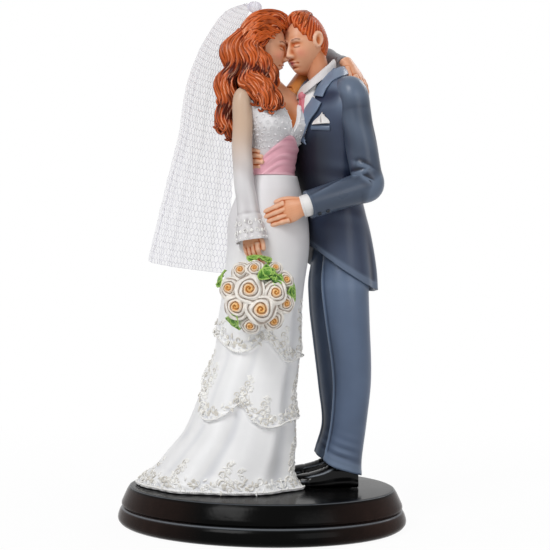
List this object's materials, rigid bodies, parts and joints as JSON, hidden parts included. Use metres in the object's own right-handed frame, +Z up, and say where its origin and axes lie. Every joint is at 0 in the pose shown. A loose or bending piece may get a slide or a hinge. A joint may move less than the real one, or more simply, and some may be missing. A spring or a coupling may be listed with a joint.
{
  "type": "wedding cake topper",
  "caption": "Free-standing cake topper: an embracing bride and groom in painted resin on an oval two-tier base, with a rose bouquet and a tulle veil that lifts at the crown.",
  "frame": {"origin": "centre of the base's underside", "axes": "+Z up; -Y is the front, the side the picture shows; +X runs from the bride to the groom"},
  "size_m": [0.0882, 0.0688, 0.1601],
  "materials": {
    "base_gloss_black": "painted resin, gloss black rubbed over brown",
    "tulle": "hexagonal net",
    "rose_cream": "painted resin, cream with amber centres",
    "leaf_green": "painted resin, leaf green",
    "hair_red": "painted resin, red-brown with rubbed highlights",
    "skin": "painted resin, satin",
    "sash_pink": "painted resin, satin pink",
    "tie_red": "painted resin, satin",
    "shirt_white": "painted resin, matt white",
    "shoe_black": "painted resin, gloss black",
    "suit_grey": "painted resin, satin blue-grey",
    "gown_white": "painted resin, satin white"
  },
  "bodies": {
    "couple": {"plinth": "base_gloss_black", "veil_gather": "tulle", "gown_upper_skirt": "gown_white", "gown_middle_tier": "gown_white", "gown_train": "gown_white", "bride_sash": "sash_pink", "bride_bodice": "gown_white", "groom_tailcoat": "suit_grey", "bride_chest": "skin", "bride_hair": "hair_red", "groom_hair": "hair_red", "groom_head": "skin", "bride_head": "skin", "groom_left_sleeve": "suit_grey", "groom_right_sleeve": "suit_grey", "bride_right_sleeve": "gown_white", "bride_left_sleeve": "gown_white", "bride_hair_front": "hair_red", "groom_left_cuff": "shirt_white", "groom_right_cuff": "shirt_white", "groom_left_hand": "skin", "groom_right_hand": "skin", "bride_left_hand": "skin", "bride_right_hand": "skin", "rose_1": "rose_cream", "rose_2": "rose_cream", "rose_3": "rose_cream", "rose_4": "rose_cream", "rose_5": "rose_cream", "rose_6": "rose_cream", "rose_7": "rose_cream", "rose_8": "rose_cream", "rose_9": "rose_cream", "rose_10": "rose_cream", "rose_11": "rose_cream", "rose_12": "rose_cream", "leaf_1": "leaf_green", "leaf_2": "leaf_green", "leaf_3": "leaf_green", "leaf_4": "leaf_green", "leaf_5": "leaf_green", "leaf_6": "leaf_green", "leaf_7": "leaf_green", "bouquet_core": "leaf_green", "groom_cuff_button_1": "shoe_black", "groom_cuff_button_2": "shoe_black", "groom_left_lapel": "suit_grey", "groom_right_lapel": "suit_grey", "groom_shirt_collar": "shirt_white", "groom_tie": "tie_red", "groom_pocket_square": "shirt_white", "groom_shirt": "shirt_white", "groom_left_shoe": "shoe_black", "groom_right_shoe": "shoe_black", "groom_left_trouser_leg": "suit_grey", "groom_right_trouser_leg": "suit_grey"},
    "veil": {"veil": "tulle"}
  },
  "joints": [
    {"name": "veil_lift", "type": "hinge", "parent": "couple", "child": "veil", "pos_m": [-0.00365, 0.00097, 0.1597], "axis": [0.4848, 0.8746, 0], "range_deg": [0, 45]}
  ]
}
